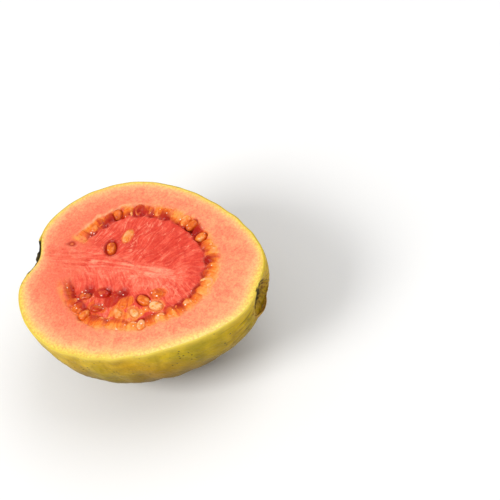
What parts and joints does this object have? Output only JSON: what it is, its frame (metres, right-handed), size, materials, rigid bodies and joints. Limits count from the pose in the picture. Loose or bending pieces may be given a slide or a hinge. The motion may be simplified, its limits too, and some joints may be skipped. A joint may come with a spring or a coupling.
{
  "type": "half guava",
  "caption": "Half of a ripe pink guava, cut lengthwise and lying on its rounded back, with seeded red pulp, dry stem stub and crown of sepals.",
  "frame": {"origin": "middle of the bottom of the bounding box, level with the flat spot that the half rests on", "axes": "+X from the stem end to the flower end, along the fruit's long axis; +Z square to the cut face, up; the front is -Y"},
  "size_m": [0.0908, 0.076, 0.0422],
  "materials": {
    "guava_skin": "waxy, semi-gloss, finely pebbled",
    "guava_flesh": "moist, fine grained, cut",
    "guava_pulp": "wet, fibrous",
    "guava_seed": "wet, glossy",
    "dry_calyx": "dry, papery"
  },
  "bodies": {
    "root": {"half_guava": "guava_skin"}
  },
  "joints": []
}
